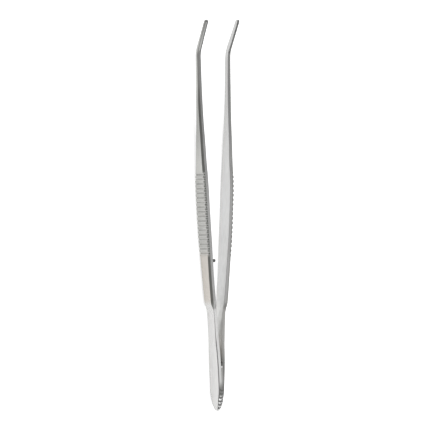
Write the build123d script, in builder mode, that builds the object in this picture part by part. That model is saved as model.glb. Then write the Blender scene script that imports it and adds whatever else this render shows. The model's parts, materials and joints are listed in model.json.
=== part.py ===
"""Aquascaping tweezers: two forged stainless arms joined at the heel, with fine tips bent out of the
plane that they close in.

Frame: X is the way the arms open, the left arm at -X and the right arm at +X. Y runs from the heel to the
tips. Z is up with the tweezers lying on the side edges of their grips, so the tips curve upwards. The
origin is under the middle of the length, on the surface that the tweezers lie on.

Every distance called a station is measured in millimetres from the heel's rounded end.
"""

import os
from math import atan
from math import cos
from math import degrees
from math import radians
from math import sin

from build123d import *

os.makedirs("parts", exist_ok=True)

# Overall sizes
length = 250.0
mid_height = 5.6
side_flat_width = 2 * mid_height
grip_start = 100.0
grip_end = 150.0

# Cross-section of an arm
arm_thickness = 3.4
plate_share = 0.59
bevel_run = 0.95

# Spring leaf, and the place where it bends
pivot_station = 53.0
pivot_gap = 0.2
leaf_thickness = 2.2
leaf_end_thickness = 2.1
shoulder_start = 63.8
shoulder_end = 69.0
cut_reach = 20.0

# Bent tips
bend_start = 225.3
bend_radius = 15.0
bend = radians(28.0)
tip_radius = 1.2

# Grip ribs
groove_count = 18
first_groove = 100.6
groove_pitch = 2.95
groove_depth = 0.5
groove_floor = 1.35
groove_mouth = 1.75

# Fine teeth on the inner faces of the tips
tooth_count = 16
tooth_pitch = 0.8
tooth_depth = 0.2

# Stop pin
pin_station = 95.6
pin_radius = 1.05
pin_bore_depth = 2.2
pin_reach = 4.9
pin_dome = 0.6
witness_depth = 0.15
witness_radius = 3.0

# Heel
nose_reach = 1.3
nose_half_width = 1.95
contact_end = 12.0
wedge_end = 31.0
wedge_half = 0.62
wedge_hollow = 0.6
weld_depth = 0.9
weld_end = 14.0
weld_end_depth = 0.45
heel_half_at_weld_end = 5.1
weld_share = 0.8

# Each arm from its pivot to the bend: (station, half the gap between the arms, width, thickness)
blade_stations = [
    (pivot_station + pivot_gap / 2, 1.75, 7.9, arm_thickness),
    (63.0, 2.5, 8.0, arm_thickness),
    (72.0, 3.45, 9.2, arm_thickness),
    (85.0, 4.6, 9.7, arm_thickness),
    (98.0, 5.6, 10.4, arm_thickness),
    (111.0, 6.55, 11.4, arm_thickness),
    (124.0, 7.35, 11.6, arm_thickness),
    (136.0, 8.0, 11.4, arm_thickness),
    (147.0, 8.45, 10.4, arm_thickness),
    (159.0, 8.78, 8.4, 3.3),
    (172.0, 9.2, 7.0, 3.15),
    (185.0, 9.6, 5.2, 3.0),
    (200.0, 9.93, 3.8, 2.95),
    (212.0, 10.2, 3.3, 2.75),
    (bend_start, 10.5, 3.2, 2.5),
]

# The leg beyond the bend: (half the gap between the arms, width, thickness) where it starts and ends
leg_start_size = (10.75, 3.0, 2.4)
leg_end_size = (11.2, 2.4, 2.2)
bend_steps = 4

# The leg beyond the bend takes up what is left of the overall length.
bend_end_station = bend_start + bend_radius * sin(bend)
leg_length = (length - tip_radius - bend_end_station) / cos(bend) + tip_radius


def along(station):
    """The Y of a station."""
    return station - length / 2


def between(near, far, share):
    """Values part of the way from one row of values to another."""
    return tuple(low + share * (high - low) for low, high in zip(near, far))


def half_gap_at(station):
    """Half the gap between the arms at a station on the straight part of the blade."""
    for near, far in zip(blade_stations, blade_stations[1:]):
        if near[0] <= station <= far[0]:
            return between(near, far, (station - near[0]) / (far[0] - near[0]))[1]
    raise ValueError("the station is off the blade")


def slope_at(station):
    """How fast the arms part along the blade, at a station."""
    reach = 4.0
    return (half_gap_at(station + reach) - half_gap_at(station - reach)) / (2 * reach)


def tip_plane(bend_share, leg_share):
    """The plane square to the arm, part of the way round the bend and along the leg."""
    angle = bend * bend_share
    leg = leg_length * leg_share
    y = along(bend_start) + bend_radius * sin(angle) + leg * cos(angle)
    z = mid_height + bend_radius * (1 - cos(angle)) + leg * sin(angle)
    return Plane(origin=(0, y, z), x_dir=(1, 0, 0), z_dir=(0, cos(angle), sin(angle)))


def arm_section(half_gap, width, thickness):
    """Outline of an arm: a plate with square sides, and a back with bevelled edges."""
    half = width / 2
    plate = half_gap + plate_share * thickness
    outer = half_gap + thickness
    back_half = half - min(bevel_run, width / 5)
    return [
        (half_gap, -half),
        (plate, -half),
        (outer, -back_half),
        (outer, back_half),
        (plate, half),
        (half_gap, half),
    ]


# The blade that both arms share, drawn on the right
with BuildPart() as blade:
    for station, *size in blade_stations:
        plane = Plane(origin=(0, along(station), mid_height), x_dir=(1, 0, 0), z_dir=(0, 1, 0))
        with BuildSketch(plane):
            Polygon(*arm_section(*size), align=None)
    loft()
    for step in range(bend_steps + 1):
        share = step / bend_steps
        with BuildSketch(tip_plane(share, 0)):
            Polygon(*arm_section(*between(blade_stations[-1][1:], leg_start_size, share)), align=None)
    loft()
    for share, size in ((0, leg_start_size), (1, leg_end_size)):
        with BuildSketch(tip_plane(1, share)):
            Polygon(*arm_section(*size), align=None)
    loft(ruled=True)

    # Side edges of the grip ground flat: the lower pair is what the tweezers lie on.
    grip_middle = along((grip_start + grip_end) / 2)
    with BuildSketch(Plane.YZ):
        with Locations((grip_middle, 0), (grip_middle, side_flat_width)):
            Rectangle(grip_end - grip_start, 2 * bevel_run)
        with Locations((grip_middle, mid_height)):
            Rectangle(grip_end - grip_start, side_flat_width, mode=Mode.SUBTRACT)
    extrude(amount=length, both=True, mode=Mode.SUBTRACT)

    # Leaf ground down to a thin spring, with a ramp up to the full thickness at the shoulder
    leaf_start = pivot_station - pivot_gap
    with BuildSketch(Plane.XY):
        with BuildLine():
            Polyline(
                (blade_stations[0][1] + leaf_thickness, along(leaf_start)),
                (half_gap_at(shoulder_start) + leaf_end_thickness, along(shoulder_start)),
                (half_gap_at(shoulder_end) + arm_thickness, along(shoulder_end)),
                (cut_reach, along(shoulder_end)),
                (cut_reach, along(leaf_start)),
                close=True,
            )
        make_face()
    extrude(amount=2 * mid_height, mode=Mode.SUBTRACT)

    # Grip ribs: the metal left between grooves cut across the back
    with BuildSketch(Plane.XY):
        for number in range(groove_count):
            station = first_groove + number * groove_pitch
            back = half_gap_at(station) + arm_thickness
            turn = -degrees(atan(slope_at(station)))
            with Locations(Location((back, along(station), 0), (0, 0, turn))):
                Polygon(
                    (-groove_depth, -groove_floor / 2),
                    (groove_depth, groove_floor / 2 - groove_mouth),
                    (groove_depth, groove_mouth - groove_floor / 2),
                    (-groove_depth, groove_floor / 2),
                    align=None,
                )
    extrude(amount=2 * mid_height, mode=Mode.SUBTRACT)

    # Rounded end of the tip, seen along X
    leg_direction = (0, cos(bend), sin(bend))
    tip_end = tip_plane(1, 1).origin
    with BuildSketch(Plane(origin=tip_end, x_dir=leg_direction, z_dir=(1, 0, 0))):
        Rectangle(2 * tip_radius, 4 * tip_radius)
        with Locations((-tip_radius, 0)):
            Circle(tip_radius, mode=Mode.SUBTRACT)
    extrude(amount=length, both=True, mode=Mode.SUBTRACT)

    # Fine teeth cut across the gripping face of the tip
    with BuildSketch(Plane(origin=tip_end, x_dir=(1, 0, 0), z_dir=(0, -sin(bend), cos(bend)))):
        for number in range(tooth_count):
            back = (number + 1.5) * tooth_pitch
            face = between(leg_end_size, leg_start_size, back / leg_length)[0]
            with Locations((face, -back)):
                Polygon(
                    (-tooth_depth, -tooth_pitch / 2),
                    (tooth_depth, 0),
                    (-tooth_depth, tooth_pitch / 2),
                    align=None,
                )
    extrude(amount=2 * tip_radius, both=True, mode=Mode.SUBTRACT)


# Where the stop pin stands on the left arm, square to its inner face
pin_root = (-half_gap_at(pin_station), along(pin_station), mid_height)
pin_plane = Plane(origin=pin_root, x_dir=(0, 0, 1), z_dir=(1, slope_at(pin_station), 0))

# Left arm beyond its pivot, with the blind bore that the stop pin is pressed into
with BuildPart() as left_blade:
    mirror(blade.part, about=Plane.YZ)
    with BuildSketch(pin_plane):
        Circle(pin_radius)
    extrude(amount=pin_bore_depth, both=True, mode=Mode.SUBTRACT)

left_blade.part.label = "left_blade"
export_step(left_blade.part, "parts/left_blade.step")

# Right arm beyond its pivot, with the shallow hollow that the stop pin has worn in its inner face
with BuildPart() as right_blade:
    add(blade.part)
    hollow_x = half_gap_at(pin_station) + witness_depth - witness_radius
    with Locations((hollow_x, along(pin_station), mid_height)):
        Sphere(witness_radius, mode=Mode.SUBTRACT)

right_blade.part.label = "right_blade"
export_step(right_blade.part, "parts/right_blade.step")

# Stop pin: a short dowel with a domed end
with BuildPart() as stop_pin:
    with BuildSketch(pin_plane.offset(-pin_bore_depth)):
        Circle(pin_radius)
    extrude(amount=pin_bore_depth + pin_reach)
    fillet(edges().sort_by(Axis.X)[-1], pin_dome)

stop_pin.part.label = "stop_pin"
export_step(stop_pin.part, "parts/stop_pin.step")

# The heel seen along X: a long rounded point that narrows again to the spring leaf
side_plane = Plane(origin=(0, 0, mid_height), x_dir=(0, 1, 0), z_dir=(1, 0, 0))
leaf_half_width = blade_stations[0][2] / 2
leaf_cut = along(pivot_station - pivot_gap / 2)
leaf_cut_gap = half_gap_at(pivot_station + pivot_gap / 2)
with BuildSketch(side_plane) as heel_face:
    with BuildLine():
        nose = ThreePointArc(
            (along(nose_reach), -nose_half_width),
            (along(0), 0),
            (along(nose_reach), nose_half_width),
        )
        upper_edge = Spline(
            nose @ 1,
            (along(5.4), 3.65),
            (along(9.6), 4.55),
            (along(weld_end), heel_half_at_weld_end),
            (along(20.0), 5.4),
            (along(26.0), 5.5),
            (along(35.0), 5.1),
            (along(45.0), 4.35),
            (leaf_cut, leaf_half_width),
            tangents=(nose % 1, (1, 0)),
        )
        mirror(upper_edge, about=Plane.XZ)
        Line((leaf_cut, leaf_half_width), (leaf_cut, -leaf_half_width))
    make_face()

# The heel's back seen along Z: it thins towards the rounded end
back_points = [
    (0.85, along(0)),
    (1.35, along(3)),
    (1.7, along(6)),
    (1.95, along(12)),
    (2.4, along(18)),
    (2.95, along(30)),
    (3.5, along(43)),
    (leaf_cut_gap + leaf_thickness, leaf_cut),
]

# Weld bead that runs round the rounded end, in a groove over the joint between the two roots
with BuildPart() as end_weld:
    with BuildSketch(Plane.XY):
        with BuildLine():
            bead_back = Spline(*((weld_share * x, y) for x, y in back_points))
            Line(bead_back @ 0, (0, along(0)))
            Line((0, along(0)), (0, leaf_cut))
            Line((0, leaf_cut), bead_back @ 1)
        make_face()
        mirror(about=Plane.YZ)
    extrude(amount=4 * mid_height, both=True)
    extrude(heel_face.sketch, amount=length, both=True, mode=Mode.INTERSECT)
    with BuildSketch(side_plane):
        with BuildLine():
            groove_end = heel_half_at_weld_end - weld_end_depth
            groove_bottom = Spline(
                (along(weld_depth), 0),
                (along(2.6), 1.75),
                (along(6.1), 3.0),
                (along(9.8), 3.9),
                (along(weld_end), groove_end),
                tangents=((0, 1), (1, 0.15)),
            )
            Polyline(
                groove_bottom @ 1,
                (along(weld_end), length),
                (leaf_cut, length),
                (leaf_cut, 0),
                groove_bottom @ 0,
            )
        make_face()
        mirror(about=Plane.XZ)
    extrude(amount=length, both=True, mode=Mode.SUBTRACT)

end_weld.part.label = "end_weld"
export_step(end_weld.part, "parts/end_weld.step")

# Root of the right arm: flat against the left one at the end, then parting from it
with BuildPart() as right_heel_leaf:
    with BuildSketch(Plane.XY):
        with BuildLine():
            back = Spline(*back_points)
            Line(back @ 0, (0, along(0)))
            Line((0, along(0)), (0, along(contact_end)))
            Line((0, along(contact_end)), (wedge_half, along(wedge_end)))
            inner = Spline(
                (wedge_half, along(wedge_end)),
                (1.2, along(43)),
                (leaf_cut_gap, leaf_cut),
            )
            Line(inner @ 1, back @ 1)
        make_face()
    extrude(amount=2 * mid_height)
    extrude(heel_face.sketch, amount=length, both=True, mode=Mode.INTERSECT)
    add(end_weld.part, mode=Mode.SUBTRACT)

right_heel_leaf.part.label = "right_heel_leaf"
export_step(right_heel_leaf.part, "parts/right_heel_leaf.step")

# Root of the left arm
with BuildPart() as left_heel_leaf:
    mirror(right_heel_leaf.part, about=Plane.YZ)

left_heel_leaf.part.label = "left_heel_leaf"
export_step(left_heel_leaf.part, "parts/left_heel_leaf.step")

# Brazed wedge that fills the narrow angle between the two roots, hollow where the braze drew in
with BuildPart() as heel_wedge:
    with BuildSketch(Plane.XY):
        with BuildLine():
            Line((0, along(contact_end)), (wedge_half, along(wedge_end)))
            ThreePointArc(
                (wedge_half, along(wedge_end)),
                (0, along(wedge_end - wedge_hollow)),
                (-wedge_half, along(wedge_end)),
            )
            Line((-wedge_half, along(wedge_end)), (0, along(contact_end)))
        make_face()
    extrude(amount=2 * mid_height)
    extrude(heel_face.sketch, amount=length, both=True, mode=Mode.INTERSECT)
    add(end_weld.part, mode=Mode.SUBTRACT)

heel_wedge.part.label = "heel_wedge"
export_step(heel_wedge.part, "parts/heel_wedge.step")
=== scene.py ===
"""Aquascaping tweezers lying on a pale table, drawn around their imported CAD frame. Lengths are in metres."""

import json
from math import cos, pi, radians, sin, sqrt

import bpy
import numpy as np
from mathutils import Matrix, Vector


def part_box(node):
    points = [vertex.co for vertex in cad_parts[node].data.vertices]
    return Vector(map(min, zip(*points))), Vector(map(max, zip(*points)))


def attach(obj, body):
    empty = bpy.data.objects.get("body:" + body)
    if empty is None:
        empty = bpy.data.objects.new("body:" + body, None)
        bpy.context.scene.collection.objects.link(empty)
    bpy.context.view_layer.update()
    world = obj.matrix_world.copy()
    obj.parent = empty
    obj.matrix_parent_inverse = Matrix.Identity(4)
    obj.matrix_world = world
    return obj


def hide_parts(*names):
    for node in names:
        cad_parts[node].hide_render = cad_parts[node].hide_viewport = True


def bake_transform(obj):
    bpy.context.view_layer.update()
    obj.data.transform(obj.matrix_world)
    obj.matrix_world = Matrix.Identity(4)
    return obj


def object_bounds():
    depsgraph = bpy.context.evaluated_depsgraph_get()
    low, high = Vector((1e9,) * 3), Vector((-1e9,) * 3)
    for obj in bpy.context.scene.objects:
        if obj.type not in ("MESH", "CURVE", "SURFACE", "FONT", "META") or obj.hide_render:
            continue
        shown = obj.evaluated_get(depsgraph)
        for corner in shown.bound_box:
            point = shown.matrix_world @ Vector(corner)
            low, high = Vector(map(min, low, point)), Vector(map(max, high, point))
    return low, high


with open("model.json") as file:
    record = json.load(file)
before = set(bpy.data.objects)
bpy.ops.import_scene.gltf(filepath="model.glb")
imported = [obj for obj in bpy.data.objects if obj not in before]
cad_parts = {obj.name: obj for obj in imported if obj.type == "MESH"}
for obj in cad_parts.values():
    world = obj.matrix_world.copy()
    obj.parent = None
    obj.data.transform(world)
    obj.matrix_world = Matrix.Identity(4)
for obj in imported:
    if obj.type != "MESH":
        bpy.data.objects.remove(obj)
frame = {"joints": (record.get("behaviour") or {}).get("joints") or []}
cad_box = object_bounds()


# The two arms.
# Each is one bar of stainless steel, forged and then ground: a plain spring leaf at the heel, a ribbed grip
# with bevelled edges, and a fine tip bent out of the plane that the arms close in. The heel is welded.

MM = 0.001
HEEL_Y = cad_box[0].y
MID_Z = frame["joints"][0]["pos_m"][2]

# Stations are distances in millimetres from the heel's rounded end, measured along the arm.
BEND_START = 225.3
BEND_RADIUS = 15.0
BEND = radians(28.0)
BEND_END = BEND_START + BEND_RADIUS * BEND
BAR_LENGTH = 249.5
TIP_RADIUS = 1.5
TIP_END_SHARE = 0.5
TIP_END_WIDTH_SHARE = 0.02
LEG = (BAR_LENGTH - TIP_RADIUS - BEND_START - BEND_RADIUS * sin(BEND)) / cos(BEND) + TIP_RADIUS
ARM_END = BEND_END + LEG

HALF_GAP = [
    (0, 0), (12, 0), (31, 0.62), (43, 1.2), (53, 1.75), (63, 2.5), (72, 3.45), (85, 4.6), (98, 5.6),
    (111, 6.55), (124, 7.35), (136, 8.0), (147, 8.45), (159, 8.78), (172, 9.2), (185, 9.6), (200, 9.93),
    (212, 10.2), (BEND_START, 10.5), (BEND_END, 10.75), (ARM_END, 11.2),
]
HALF_WIDTH = [
    (0.03, 0.35), (0.25, 1.0), (0.8, 1.66), (1.3, 1.97), (5.4, 3.68), (9.6, 4.65), (14, 5.3), (20, 5.58),
    (26, 5.58), (35, 5.25), (45, 4.5), (53, 4.1), (63, 4.05), (64.5, 4.1), (69.2, 4.65), (72, 4.7),
    (85, 4.85), (98, 5.2), (111, 5.6), (136, 5.6), (147, 5.25), (159, 4.25), (172, 3.5), (185, 2.6),
    (200, 1.9), (212, 1.65), (BEND_START, 1.6), (BEND_END, 1.5), (ARM_END, 1.19),
]
FULL_THICKNESS = [(0, 3.4), (147, 3.4), (159, 3.3), (172, 3.15), (185, 3.0), (200, 2.95), (212, 2.75),
                  (BEND_START, 2.5), (BEND_END, 2.4), (ARM_END, 2.2)]
LEAF_THICKNESS = [(0, 0.83), (3, 1.4), (6, 1.8), (12, 2.1), (18, 2.3), (30, 2.35), (45, 2.3),
                  (53, 2.2), (62.5, 2.1), (63.8, 2.15), (69, 3.4), (80, 3.4)]


def follow(points, at):
    """Smooth curve through points that never overshoots them, read at one or many places."""
    x, y = np.array(points, float).T
    slope = np.diff(y) / np.diff(x)
    tangent = np.zeros_like(y)
    same_way = slope[1:] * slope[:-1] > 0
    with np.errstate(divide="ignore", invalid="ignore"):
        harmonic = 2 * slope[1:] * slope[:-1] / (slope[1:] + slope[:-1])
    tangent[1:-1] = np.where(same_way, harmonic, 0)
    tangent[0], tangent[-1] = slope[0], slope[-1]
    at = np.clip(np.asarray(at, float), x[0], x[-1])
    i = np.clip(np.searchsorted(x, at) - 1, 0, len(x) - 2)
    step = x[i + 1] - x[i]
    t = (at - x[i]) / step
    return (
        (2 * t**3 - 3 * t**2 + 1) * y[i]
        + (t**3 - 2 * t**2 + t) * step * tangent[i]
        + (3 * t**2 - 2 * t**3) * y[i + 1]
        + (t**3 - t**2) * step * tangent[i + 1]
    )


def ease(value, low, high):
    """0 below low, 1 above high, and a smooth S between them."""
    t = np.clip((value - low) / (high - low), 0, 1)
    return t * t * (3 - 2 * t)


PLATE_SHARE = 0.59
BEVEL_RUN = 0.95
BEVEL_SHARE = 0.42
LEAST_BEVEL = 0.16
LEAST_BACK = 0.25
RIB_FIRST = 100.6
RIB_PITCH = 2.95
RIB_COUNT = 18
GROOVE_DEPTH = 0.5
GROOVE_FLOOR_HALF = 0.25
GROOVE_MOUTH_HALF = 0.8
GRIP_START = (98.5, 99.5)
GRIP_END = (151.5, 152.5)
RIB_END_RUN = 0.6
TOOTH_PITCH = 0.8
TOOTH_DEPTH = 0.18
TOOTH_COUNT = 16
EDGE_CROWN = 0.06
# How much of the bevel, with its roughness and its painted shade, the ribs lose at their sides and tops
RIB_SIDE_WEAR_AND_LIGHT = 0.25
RIB_TOP_WEAR_AND_LIGHT = 0.9
HEEL_TO_SPRING = (40, 52)
SPRING_TO_BEVEL = (63.2, 64.4)
HEEL_BEVEL = 0.25
HEEL_FALL = 0.3
WELD_GROOVE_FADE = 9.5
WELD_GROOVE_END = 14.0
WELD_GROOVE_DEPTH = 0.8
WELD_SHARE = [(0, 0.96), (3, 0.95), (8, 0.84), (14, 0.78)]
WELD_LIP = 0.03
SOFT_EDGE = 0.14
SOFT_CORNER = 0.16
FULL_ROUND = 9.0
SHARP_EDGE = 0.05


def groove(station):
    """How far a station is inside a groove of the grip: 1 on its floor, 0 on a rib."""
    number = (station - RIB_FIRST) / RIB_PITCH
    nearest = np.clip(np.round(number), 0, RIB_COUNT - 1)
    return 1 - ease(abs(number - nearest) * RIB_PITCH, GROOVE_FLOOR_HALF, GROOVE_MOUTH_HALF)


def tooth(station):
    """Depth of the fine teeth across the gripping face of the tip, in millimetres."""
    number = (ARM_END - station) / TOOTH_PITCH - 1.5
    nearest = np.clip(np.round(number), 0, TOOTH_COUNT - 1)
    return TOOTH_DEPTH * max(0.0, 1 - 2 * abs(number - nearest))


def centre_line(station):
    """The Y and Z of the arm's middle and the angle that it climbs at, in millimetres and radians."""
    if station <= BEND_START:
        return station, 0.0, 0.0
    angle = min((station - BEND_START) / BEND_RADIUS, BEND)
    leg = max(0.0, station - BEND_END)
    y = BEND_START + BEND_RADIUS * sin(angle) + leg * cos(angle)
    z = BEND_RADIUS * (1 - cos(angle)) + leg * sin(angle)
    return y, z, angle


def eased_corner(before, corner, after, radius, points=5):
    """Points along a short curve that takes the sharpness off one corner of an outline."""
    to_before, to_after = before - corner, after - corner
    length_before, length_after = np.linalg.norm(to_before), np.linalg.norm(to_after)
    start = corner + to_before / length_before * min(radius, 0.45 * length_before)
    end = corner + to_after / length_after * min(radius, 0.45 * length_after)
    shares = np.linspace(0, 1, points)
    return [((1 - t) ** 2 * start + 2 * t * (1 - t) * corner + t**2 * end, t) for t in shares]


def arm_ring(station):
    """One cross-section of the right arm: its points in the row frame, and the finish at each.

    A finish is four shares: of bevel, which is rougher and carries painted shade, of groove floor, which is
    rougher and carries painted shade, of smooth inner face and of side edge.
    """
    gap, half, full = (follow(size, station) for size in (HALF_GAP, HALF_WIDTH, FULL_THICKNESS))
    in_groove = groove(station)
    height = full - GROOVE_DEPTH * in_groove
    if station < LEAF_THICKNESS[-1][0]:
        height = min(height, follow(LEAF_THICKNESS, station))

    # The heel has plain edges and the weld's groove; the arm beyond it has a square plate and bevels.
    heel = 1 - ease(station, *HEEL_TO_SPRING)
    arm = 1 - heel
    weld_share = follow(WELD_SHARE, station)
    plate = min(PLATE_SHARE * full, height - LEAST_BACK) * arm + (weld_share + WELD_LIP) * height * heel
    middle = 0.5 * plate * arm + weld_share * height * heel
    on_rib = (ease(station, *GRIP_START) - ease(station, *GRIP_END)) * (1 - in_groove)
    run = min(BEVEL_RUN - (BEVEL_RUN - RIB_END_RUN) * on_rib, BEVEL_SHARE * half)
    run *= (height - PLATE_SHARE * full) / (full - PLATE_SHARE * full)
    run = max(run, min(LEAST_BEVEL, 0.3 * half)) * arm + min(HEEL_BEVEL, 0.3 * half) * heel
    fall = min(HEEL_FALL, 0.15 * half) * heel
    weld_groove = min(WELD_GROOVE_DEPTH, 0.6 * half) * (1 - ease(station, WELD_GROOVE_FADE, WELD_GROOVE_END))

    # The tip ends in a round.
    past_round = station - (ARM_END - TIP_RADIUS)
    if past_round > 0:
        circle = sqrt(max(0.0, 1 - (past_round / TIP_RADIUS) ** 2))
        across = circle * (1 - TIP_END_WIDTH_SHARE) + TIP_END_WIDTH_SHARE
        half *= across
        run *= across
        height = full * (TIP_END_SHARE + (1 - TIP_END_SHARE) * across)
        gap += 0.5 * TIP_END_SHARE * full * (1 - across)
        plate = min(plate, 0.7 * height)

    crown = min(EDGE_CROWN, 0.1 * half)
    upper = [
        (gap + height, half - run - crown - fall),
        (gap + plate, half - crown - fall),
        (gap + middle, half - 0.6 * fall - weld_groove),
        (gap + tooth(station), half - crown * arm - weld_groove),
    ]
    lower = [(x, -w) for x, w in reversed(upper)]
    corners = [np.array(corner) for corner in lower + upper]
    inner_edge = min(SOFT_EDGE, 0.3 * half)
    middle_edge = FULL_ROUND if station > WELD_GROOVE_END else SHARP_EDGE
    back_edge = SOFT_CORNER + 0.1 * in_groove * arm
    lower_radii = [inner_edge, middle_edge, SOFT_CORNER, back_edge]
    radii = lower_radii + lower_radii[::-1]

    # Each corner has the finish of the face before it and that of the face after it.
    bevel = arm * ease(station, *SPRING_TO_BEVEL)
    inner, side_edge, top = (0, 0, 1, 0), (0, 0, 0, 1), (0, in_groove, 0, 0)
    # On the ribs part of the bevel share is taken off, and with it part of the bevel's painted shade and
    # roughness.
    rubbed_and_lit, worn_and_lit = ((bevel * (1 - wear_and_light * on_rib), in_groove, 0, 0) for wear_and_light in (RIB_SIDE_WEAR_AND_LIGHT, RIB_TOP_WEAR_AND_LIGHT))
    first_half = [(inner, side_edge), (side_edge, side_edge), (side_edge, rubbed_and_lit), (worn_and_lit, top)]
    before_after = first_half + [(after, before) for before, after in reversed(first_half)]
    points, finishes = [], []
    y, z, angle = centre_line(station)
    for i, corner in enumerate(corners):
        for (x, w), t in eased_corner(corners[i - 1], corner, corners[(i + 1) % len(corners)], radii[i]):
            points.append((x * MM, HEEL_Y + (y - w * sin(angle)) * MM, MID_Z + (z + w * cos(angle)) * MM))
            before, after = before_after[i]
            finishes.append([a * (1 - t) + b * t for a, b in zip(before, after)])
    return points, finishes


def arm_stations():
    """Where the cross-sections stand: close together wherever the arm changes fast."""
    stretches = [
        (0.03, 2.0, 0.12), (2.0, 14.0, 0.4), (14.0, 62.0, 1.0), (62.0, 70.0, 0.2), (70.0, 99.0, 1.0),
        (99.0, 152.4, 0.1475), (152.4, BEND_START, 1.2), (BEND_START, BEND_END, 0.4),
        (BEND_END, ARM_END - TIP_RADIUS, 0.1),
    ]
    places = []
    for start, end, step in stretches:
        places.extend(np.linspace(start, end, max(2, round((end - start) / step)), endpoint=False))
    places.extend(ARM_END - TIP_RADIUS + TIP_RADIUS * sin(pi / 2 * t) for t in np.linspace(0, 1, 11))
    return places


def skin(name, rings, finishes=None, mirrored=False):
    """A closed mesh through rings of equal length, with both ends capped and its finish on its points."""
    size = len(rings[0])
    points = [p for ring in rings for p in ring]
    if mirrored:
        points = [(-x, y, z) for x, y, z in points]
    faces = []
    for i in range(len(rings) - 1):
        for j in range(size):
            k = (j + 1) % size
            faces.append((i * size + j, i * size + k, (i + 1) * size + k, (i + 1) * size + j))
    faces.append(tuple(reversed(range(size))))
    faces.append(tuple(range((len(rings) - 1) * size, len(rings) * size)))
    if not mirrored:
        faces = [tuple(reversed(face)) for face in faces]
    mesh = bpy.data.meshes.new(name)
    mesh.from_pydata(points, [], faces)
    mesh.shade_smooth()
    if finishes:
        layer = mesh.color_attributes.new("finish", "FLOAT_COLOR", "POINT")
        layer.data.foreach_set("color", np.array(finishes).ravel())
    piece = bpy.data.objects.new(name, mesh)
    bpy.context.scene.collection.objects.link(piece)
    weighted = piece.modifiers.new("face_weighted_normals", "WEIGHTED_NORMAL")
    weighted.keep_sharp = True
    return piece


class Wire:
    """A shader socket that can be added, multiplied and so on like a number."""

    def __init__(self, socket):
        self.socket = socket
        self.tree = socket.id_data

    @classmethod
    def node(cls, tree, kind, settings=None, inputs=None, take=0):
        """Adds any node: its settings first, then the values or links of its sockets."""
        made = tree.nodes.new(kind)
        for key, value in (settings or {}).items():
            setattr(made, key, value)
        for key, value in (inputs or {}).items():
            if isinstance(value, Wire):
                tree.links.new(value.socket, made.inputs[key])
            else:
                made.inputs[key].default_value = value
        if isinstance(take, tuple):
            return [cls(made.outputs[i]) for i in take]
        return cls(made.outputs[take]) if made.outputs else None

    def math(self, operation, first, second):
        return Wire.node(self.tree, "ShaderNodeMath", {"operation": operation}, {0: first, 1: second})

    def __add__(self, other):
        return self.math("ADD", self, other)

    __radd__ = __add__

    def __sub__(self, other):
        return self.math("SUBTRACT", self, other)

    def __rsub__(self, other):
        return self.math("SUBTRACT", other, self)

    def __mul__(self, other):
        return self.math("MULTIPLY", self, other)

    __rmul__ = __mul__

    def step(self, low, high):
        """0 below low, 1 above high and a smooth rise between; the other way round if low is the larger."""
        return Wire.node(
            self.tree,
            "ShaderNodeMapRange",
            {"interpolation_type": "SMOOTHSTEP"},
            {"Value": self, "From Min": low, "From Max": high},
        )

    def tint(self, first, second):
        """From the first colour to the second as this value goes from 0 to 1."""
        return Wire.node(
            self.tree, "ShaderNodeMix", {"data_type": "RGBA"}, {0: self, 6: first, 7: second}, take=2
        )


def grain(tree, place, cycles, detail=2.0):
    """Noise with the given cycles per metre along X, Y and Z, so that it can be drawn out into streaks."""
    scaled = Wire.node(tree, "ShaderNodeVectorMath", {"operation": "MULTIPLY"}, {0: place, 1: cycles})
    return Wire.node(tree, "ShaderNodeTexNoise", {}, {"Vector": scaled, "Scale": 1.0, "Detail": detail})


def in_mm(tree, place):
    """A row-frame place in millimetres: to the right of the middle, station, and above the mid-plane."""
    from_heel = Wire.node(
        tree, "ShaderNodeVectorMath", {"operation": "SUBTRACT"}, {0: place, 1: (0, HEEL_Y, MID_Z)}
    )
    scaled = Wire.node(tree, "ShaderNodeVectorMath", {"operation": "SCALE"}, {0: from_heel, "Scale": 1 / MM})
    return Wire.node(tree, "ShaderNodeSeparateXYZ", {}, {0: scaled}, take=(0, 1, 2))


def material(name, paint):
    """A material with the shader sockets that paint gives for its node tree and the row-frame place."""
    made = bpy.data.materials.new(name)
    made.use_nodes = True
    tree = made.node_tree
    tree.nodes.clear()
    place = Wire.node(tree, "ShaderNodeTexCoord", take=3)
    shader = Wire.node(tree, "ShaderNodeBsdfPrincipled", {}, paint(tree, place))
    Wire.node(tree, "ShaderNodeOutputMaterial", {}, {"Surface": shader})
    return made


def bump(tree, height, strength, distance):
    """The normal of a surface raised by height, from 0 to 1, over distance in metres."""
    return Wire.node(
        tree, "ShaderNodeBump", {}, {"Strength": strength, "Distance": distance, "Height": height}
    )


STEEL = ((0.45, 0.45, 0.43, 1), (0.50, 0.50, 0.485, 1))
WARM_STEEL = ((0.47, 0.44, 0.405, 1), (0.54, 0.51, 0.475, 1))
GRIP_STEEL = (0.40, 0.40, 0.385, 1)
DULL_SHAFT = (0.29, 0.292, 0.28, 1)
SIDE_STEEL = ((0.49, 0.49, 0.485, 1), (0.31, 0.31, 0.305, 1))
INNER_STEEL = ((0.60, 0.60, 0.598, 1), (0.47, 0.47, 0.465, 1))
LEAF_BACK = (0.60, 0.597, 0.59, 1)
LEAF_INNER = (0.76, 0.76, 0.75, 1)
# The next three are painted light: shade on the leaf's inner face, and a highlight and shade on its side edge.
LEAF_INNER_SHADE = ((0.84, 0.83, 0.81, 1), (0.64, 0.637, 0.625, 1))
LEAF_EDGE_HIGHLIGHT = (0.88, 0.88, 0.87, 1)
LEAF_EDGE_SHADE = ((0.22, 0.218, 0.21, 1), (0.47, 0.467, 0.45, 1))
LEG_BACK = (0.34, 0.34, 0.335, 1)
LEG_INNER = (0.60, 0.60, 0.595, 1)
TIP_END = (0.16, 0.16, 0.157, 1)
CROSS_LINE = (0.24, 0.235, 0.225, 1)
STREAK = (0.38, 0.38, 0.37, 1)
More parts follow.
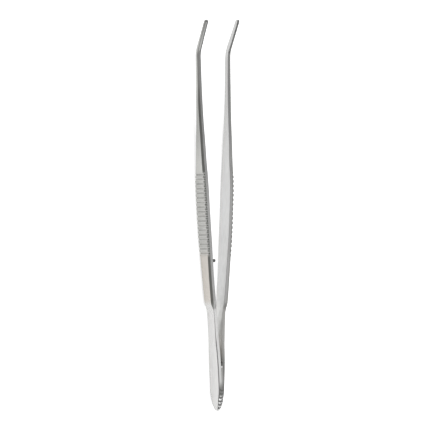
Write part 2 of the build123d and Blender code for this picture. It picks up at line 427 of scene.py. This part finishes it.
# The next three are painted light: shade on the bevels, shade in the grooves, and a highlight on the rib
# edges.
BEVEL_SHADE = (0.25, 0.255, 0.24, 1)
GROOVE_SHADE = (0.10, 0.10, 0.095, 1)
RIB_EDGE_HIGHLIGHT = (0.86, 0.86, 0.85, 1)
HEAT_TINT = (0.20, 0.20, 0.19, 1)

# The stations over which each finish, painted shade or painted highlight comes in or goes out
HEAT_ENDS = (19, 13.5)
DARK_EDGE_PALES = (27, 42)
INNER_SHADE_DARKENS = (43, 54)
LEAF_BEGINS = (71.5, 66.5)
WARM_ENDS = (104, 98)
GRIP_BEGINS = (98, 100)
GRIP_ENDS = (153, 151)
SHAFT_DULLS = (154, 180)
SHAFT_BRIGHTENS = (208, 196)
TOWARD_TIP = (120, 215)
BEVEL_FADES = (190, 218)
LEG_BEGINS = (222, 228)
TIP_DARKENS = (232, 248)

# The painted highlight on the leaf's side edge shifts over, and the painted shade on its inner face widens
# from the edges, by so much for each millimetre.
EDGE_SHIFT = 0.055
EDGE_CENTRED_AT = 26
INNER_SHADE_GROWTH = 0.165
INNER_SHADE_ALL_AT = 43.6


def brushed_steel(tree, place):
    """Stainless steel brushed along the arms: rougher on the bevels, with painted shade on them and in the
    grooves, and bright inside.
    """
    shares, side_edge = Wire.node(tree, "ShaderNodeAttribute", {"attribute_name": "finish"}, take=(0, 3))
    bevel, in_groove, inner = Wire.node(tree, "ShaderNodeSeparateColor", {}, {0: shares}, take=(0, 1, 2))
    to_right, station, above = in_mm(tree, place)
    streaks = grain(tree, place, (2600.0, 45.0, 2600.0), 3.0)
    scratches = grain(tree, place, (9000.0, 120.0, 9000.0))
    cross_lines = grain(tree, place, (150.0, 2400.0, 150.0))
    cloud = grain(tree, place, (70.0, 28.0, 70.0))

    # The ground faces, from behind the grip to the fine end
    on_grip = station.step(*GRIP_BEGINS) * station.step(*GRIP_ENDS)
    past_grip = station.step(*SHAFT_DULLS) * station.step(*SHAFT_BRIGHTENS)
    to_tip = station.step(*TOWARD_TIP)
    faces = station.step(*WARM_ENDS).tint(cloud.tint(*STEEL), cloud.tint(*WARM_STEEL))
    faces = (on_grip * 0.3).tint(faces, GRIP_STEEL)
    faces = (past_grip * 0.75).tint(faces, DULL_SHAFT)
    faces = side_edge.tint(faces, to_tip.tint(*SIDE_STEEL))
    faces = inner.tint(faces, to_tip.tint(*INNER_STEEL))

    # The spring leaf: painted shade spreads over its inner face from its edges inwards, and its side edge has
    # a painted highlight towards the left and painted shade towards the right.
    on_leaf = station.step(*LEAF_BEGINS)
    edge_shade_share = (to_right + EDGE_SHIFT * (station - EDGE_CENTRED_AT)).step(-1.3, 1.7)
    leaf_edge_light = edge_shade_share.tint(LEAF_EDGE_HIGHLIGHT, station.step(*DARK_EDGE_PALES).tint(*LEAF_EDGE_SHADE))
    off_middle = above.math("ABSOLUTE", above, 0)
    inner_shade = (off_middle - INNER_SHADE_GROWTH * (station - INNER_SHADE_ALL_AT)).step(-0.5, 0.5)
    leaf_inner = inner_shade.tint(LEAF_INNER, station.step(*INNER_SHADE_DARKENS).tint(*LEAF_INNER_SHADE))
    faces = on_leaf.tint(faces, inner.tint(side_edge.tint(LEAF_BACK, leaf_edge_light), leaf_inner))

    # The bent leg and its end
    on_end = station.step(*TIP_DARKENS) * (1 - inner)
    faces = (station.step(*LEG_BEGINS) * 0.35).tint(faces, inner.tint(LEG_BACK, LEG_INNER))
    faces = (on_end * 0.7).tint(faces, TIP_END)

    # Brush lines, painted shade on the bevels and in the grooves, painted highlights on the rib edges, and the
    # weld's heat
    on_back = (1 - inner) * (1 - side_edge)
    faces = (on_grip * on_back * cross_lines.step(0.42, 0.6) * 0.35).tint(faces, CROSS_LINE)
    faces = (streaks.step(0.4, 0.7) * 0.3).tint(faces, STREAK)
    faces = (bevel * (0.9 - 0.75 * station.step(*BEVEL_FADES))).tint(faces, BEVEL_SHADE)
    faces = (in_groove * (0.1 + 0.4 * bevel)).tint(faces, GROOVE_SHADE)
    rib_edge_highlight = in_groove.step(0.0, 0.2) * in_groove.step(0.6, 0.3) * (1 - 0.8 * bevel)
    faces = (rib_edge_highlight * 0.8).tint(faces, RIB_EDGE_HIGHLIGHT)
    faces = (station.step(*HEAT_ENDS) * side_edge * 0.75).tint(faces, HEAT_TINT)

    roughness = 0.2 + 0.1 * streaks + 0.08 * cloud + 0.14 * bevel + 0.12 * in_groove
    roughness = roughness + 0.06 * on_grip + 0.18 * inner * on_leaf
    return {
        "Base Color": faces,
        "Metallic": 1.0,
        "Roughness": roughness,
        "Normal": bump(tree, 0.5 * scratches + 0.5 * streaks, 0.25, 0.02 * MM),
    }


arm_steel = material("brushed_steel", brushed_steel)
sections = [arm_ring(station) for station in arm_stations()]
for side in ("left", "right"):
    arm = skin(
        f"{side}_arm",
        [points for points, _ in sections],
        [finishes for _, finishes in sections],
        mirrored=side == "left",
    )
    arm.data.materials.append(arm_steel)
    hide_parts(f"{side}_heel_leaf", f"{side}_blade")
    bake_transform(arm)


# The stop pin.
# A short turned dowel with a domed end, pressed into a blind bore in the left arm. It keeps a strong
# squeeze from crossing the tips, and stays darker than the arms because it is never polished.

PIN_SIDES = 40
PIN_SLOPE = 0.08
pin_low, pin_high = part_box("stop_pin")
PIN_LENGTH = (pin_high.x - pin_low.x) / MM
# Radius and distance from the domed end, with a fine lathe groove near it
PIN_PROFILE = [
    (0.02, 0.0), (0.35, 0.008), (0.62, 0.05), (0.85, 0.15), (0.97, 0.3), (1.02, 0.48), (1.05, 0.75),
    (1.05, 1.6), (1.02, 1.66), (1.05, 1.72), (1.05, 3.3), (1.05, PIN_LENGTH - 0.3), (0.9, PIN_LENGTH - 0.15),
]
pin_axis = Vector((1, PIN_SLOPE, 0)).normalized()
pin_across = Vector((-pin_axis.y, pin_axis.x, 0))
pin_end = 0.5 * (pin_low + pin_high) + pin_axis * 0.5 * PIN_LENGTH * MM
turns = [2 * pi * i / PIN_SIDES for i in range(PIN_SIDES)]
ways_out = [pin_across * cos(turn) + Vector((0, 0, sin(turn))) for turn in turns]
pin_rings = []
for radius, back in PIN_PROFILE:
    centre = pin_end - pin_axis * back * MM
    pin_rings.append([tuple(centre + way * radius * MM) for way in ways_out])

PIN_STEEL = ((0.10, 0.10, 0.098, 1), (0.17, 0.17, 0.165, 1))


def turned_steel(tree, place):
    """Dark bare steel with the fine rings that a lathe leaves across the pin."""
    rings = grain(tree, place, (14000.0, 300.0, 300.0), 1.0)
    cloud = grain(tree, place, (600.0, 600.0, 600.0))
    return {
        "Base Color": cloud.tint(*PIN_STEEL),
        "Metallic": 1.0,
        "Roughness": 0.26 + 0.16 * rings,
        "Normal": bump(tree, rings, 0.3, 0.02 * MM),
    }


pin = skin("stop_pin_turned", pin_rings)
pin.data.materials.append(material("turned_steel", turned_steel))
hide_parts("stop_pin")
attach(pin, "left_arm")


# The braze in the heel.
# Filler metal that ran into the narrow angle between the two roots and set there. Its hollow end carries
# painted shade, with a painted highlight on the rim behind it.

BRAZE = ((0.36, 0.355, 0.34, 1), (0.52, 0.515, 0.49, 1))
# A painted highlight on the rim, and painted shade in the hollow end:
BRAZE_RIM_HIGHLIGHT = (0.92, 0.92, 0.91, 1)
BRAZE_END_SHADE = (0.09, 0.09, 0.08, 1)
RIM_BEGINS = (27.2, 27.8)
END_SHADE_BEGINS = (28.9, 29.5)
END_SHADE_WANDERS = 1.2


def braze(tree, place):
    """Braze metal, a little duller and warmer than the steel on each side of it, with a painted highlight on
    its rim and painted shade in its hollow end.
    """
    cloud = grain(tree, place, (900.0, 500.0, 900.0), 3.0)
    flow = grain(tree, place, (2000.0, 160.0, 2000.0))
    _, station, _ = in_mm(tree, place)
    end_shade = (station + END_SHADE_WANDERS * cloud).step(*END_SHADE_BEGINS)
    filler = station.step(*RIM_BEGINS).tint(cloud.tint(*BRAZE), BRAZE_RIM_HIGHLIGHT)
    return {
        "Base Color": end_shade.tint(filler, BRAZE_END_SHADE),
        "Metallic": 1.0,
        "Roughness": 0.3 + 0.2 * cloud,
        "Normal": bump(tree, flow + cloud, 0.5, 0.05 * MM),
    }


wedge = bpy.data.objects["heel_wedge"]
wedge.data.materials.clear()
wedge.data.materials.append(material("braze", braze))


# The weld bead.
# It runs round the rounded end of the heel, in a groove over the joint between the two roots. Each of its
# ripples is a pool of melted steel that set before the next one flowed over its edge.

RIPPLE_PITCH = 2.4
RIPPLE_DEPTH = 0.26
RIPPLE_BOW = 1.0
RIPPLE_LEAN = 1.3
RIPPLE_FADE = (8.5, 11.0)
BEAD_OVERLAP = 0.06
BEAD_SWELL = 0.12
BEAD_BELOW = 0.9
BEAD_FOOT_SHARE = 0.8
BEAD_ALONG = 161
BEAD_ACROSS = 15
HEEL_TIP = 0.03


def bead_path():
    """The heel's outline from the bead's lower end round to its upper end: station and height in mm."""
    stations = [WELD_GROOVE_END * (1 - cos(pi / 2 * t)) for t in np.linspace(1, 0, BEAD_ALONG)]
    side = [(s, follow(HALF_WIDTH, s)) for s in np.maximum(stations, HEEL_TIP)]
    side[-1] = (HEEL_TIP, 0.0)
    return np.array([(s, -w) for s, w in side] + [(s, w) for s, w in reversed(side[:-1])])


path = bead_path()
steps = np.linalg.norm(np.diff(path, axis=0), axis=1)
run_lengths = np.concatenate(([0], np.cumsum(steps)))
tangents = np.gradient(path, axis=0)
tangents /= np.linalg.norm(tangents, axis=1)[:, None]
bead_rings, bead_finishes = [], []
for (station, w), (toward_tips, toward_top), run_length in zip(path, tangents, run_lengths):
    inward = np.array((toward_top, -toward_tips))
    reach = follow(LEAF_THICKNESS, station) * (follow(WELD_SHARE, station) + BEAD_OVERLAP)
    fade = 1 - ease(station, *RIPPLE_FADE)
    ring, crests = [], []
    for across in np.linspace(-1, 1, BEAD_ACROSS):
        phase = (run_length + RIPPLE_BOW * (1 - across**2)) / RIPPLE_PITCH
        wave = 0.5 - 0.5 * cos(2 * pi * (phase % 1.0) ** RIPPLE_LEAN)
        flat = 1 - across**4
        depth = (BEAD_SWELL * (1 - flat) + RIPPLE_DEPTH * (1 - wave) * flat) * fade
        s, h = (station, w) + inward * depth
        ring.append((across * reach * MM, HEEL_Y + max(s, 0.02) * MM, MID_Z + h * MM))
        # The crest share gives the bead its painted highlight on the crests and painted shade between them.
        crests.append([wave * flat] * 4)
    for across in np.linspace(BEAD_FOOT_SHARE, -BEAD_FOOT_SHARE, 4):
        s, h = (station, w) + inward * BEAD_BELOW
        ring.append((across * reach * MM, HEEL_Y + s * MM, MID_Z + h * MM))
        crests.append([0] * 4)
    bead_rings.append(ring)
    bead_finishes.append(crests)

# The painted highlight on the crests, the painted shade in the dips between them, and the colour of the dark
# scale on the bead's upper part
CREST_HIGHLIGHT = ((0.84, 0.84, 0.835, 1), (0.95, 0.95, 0.945, 1))
TROUGH_SHADE = (0.27, 0.27, 0.265, 1)
SCALE = (0.22, 0.22, 0.21, 1)
SCALE_BEGINS = (8.2, 10.5)
SCALE_ENDS = (16.5, 12.5)


def weld_steel(tree, place):
    """Weld metal with a painted highlight on the crests of the ripples, painted shade between them, and darker
    where the heat tinted it.
    """
    crest_light = Wire.node(tree, "ShaderNodeAttribute", {"attribute_name": "finish"}, take=2).step(0.3, 0.7)
    cloud = grain(tree, place, (500.0, 900.0, 500.0), 3.0)
    _, station, _ = in_mm(tree, place)
    heat = station.step(*SCALE_BEGINS) * station.step(*SCALE_ENDS)
    return {
        "Base Color": (heat * 0.8).tint(crest_light.tint(TROUGH_SHADE, cloud.tint(*CREST_HIGHLIGHT)), SCALE),
        "Metallic": 1.0,
        "Roughness": 0.28 + 0.12 * cloud + 0.1 * heat,
        "Normal": bump(tree, cloud, 0.3, 0.03 * MM),
    }


bead = skin("weld_bead", bead_rings, bead_finishes)
bead.data.materials.append(material("weld_steel", weld_steel))
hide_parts("end_weld")
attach(bead, "heel")


# The table and the light.
# A pale, matt table top, lit softly from both ends so that the arms throw almost no shadow sideways, and
# from high on the right so that the side edges stand out from the bevels.

REACH = 3.0
TABLE_WHITE = ((0.93, 0.93, 0.93, 1), (0.95, 0.95, 0.95, 1))
TABLE_GLOW = 0.55
ROOM_GREY = (0.25, 0.25, 0.25, 1)
floor_mesh = bpy.data.meshes.new("table_top")
floor_corners = [(-REACH, -REACH, 0), (REACH, -REACH, 0), (REACH, REACH, 0), (-REACH, REACH, 0)]
floor_mesh.from_pydata(floor_corners, [], [(0, 1, 2, 3)])
floor = bpy.data.objects.new("table_top", floor_mesh)
bpy.context.scene.collection.objects.link(floor)


def pale_table(tree, place):
    """White matt paint that glows a little, so that soft shadows stay pale."""
    cloud = grain(tree, place, (3.0, 3.0, 3.0))
    return {
        "Base Color": cloud.tint(*TABLE_WHITE),
        "Roughness": 0.9,
        "Emission Color": (1, 1, 1, 1),
        "Emission Strength": TABLE_GLOW,
    }


floor.data.materials.append(material("pale_table", pale_table))

world = bpy.data.worlds.new("studio")
world.use_nodes = True
world.node_tree.nodes["Background"].inputs["Color"].default_value = ROOM_GREY
bpy.context.scene.world = world


def soft_light(name, place, size, power):
    """An area light of the given width and length in metres that faces the middle of the tweezers."""
    light = bpy.data.lights.new(name, "AREA")
    light.shape = "RECTANGLE"
    light.size, light.size_y = size
    light.energy = power
    lamp = bpy.data.objects.new(name, light)
    lamp.location = place
    lamp.rotation_euler = (-Vector(place)).to_track_quat("-Z", "Y").to_euler()
    bpy.context.scene.collection.objects.link(lamp)


soft_light("tip_end_light", (0.0, 0.9, 0.9), (1.2, 0.8), 7)
soft_light("heel_end_light", (0.0, -0.9, 0.9), (1.2, 0.8), 7)
soft_light("side_light", (0.52, 0.0, 0.97), (0.5, 1.4), 1.35)

bpy.context.scene.view_settings.view_transform = "Standard"


# The camera.
# It looks down on the tweezers from their left side, along a line square to their length. The lens is long
# and stands far off, so the two arms are seen at the same size.

LEAN = radians(35.0)
ROLL = radians(0.72)
FOCAL = 600.0
SENSOR = 36.0
FRAME_WIDTH = 0.2746
NEAREST_SEEN = 0.01
away = Vector((-sin(LEAN), 0, cos(LEAN)))
level = Vector((cos(LEAN), 0, sin(LEAN)))
ahead = Vector((0, 1, 0))
camera = bpy.data.cameras.new("camera")
camera.lens = FOCAL
camera.sensor_width = SENSOR
camera.clip_start = NEAREST_SEEN
camera_object = bpy.data.objects.new("camera", camera)
camera_right = level * cos(ROLL) - ahead * sin(ROLL)
camera_up = ahead * cos(ROLL) + level * sin(ROLL)
axes = Matrix((camera_right, camera_up, away)).transposed()
target = Vector((0, 0, MID_Z))
camera_place = target + away * FRAME_WIDTH * FOCAL / SENSOR
camera_object.matrix_world = Matrix.Translation(camera_place) @ axes.to_4x4()
bpy.context.scene.collection.objects.link(camera_object)
bpy.context.scene.camera = camera_object
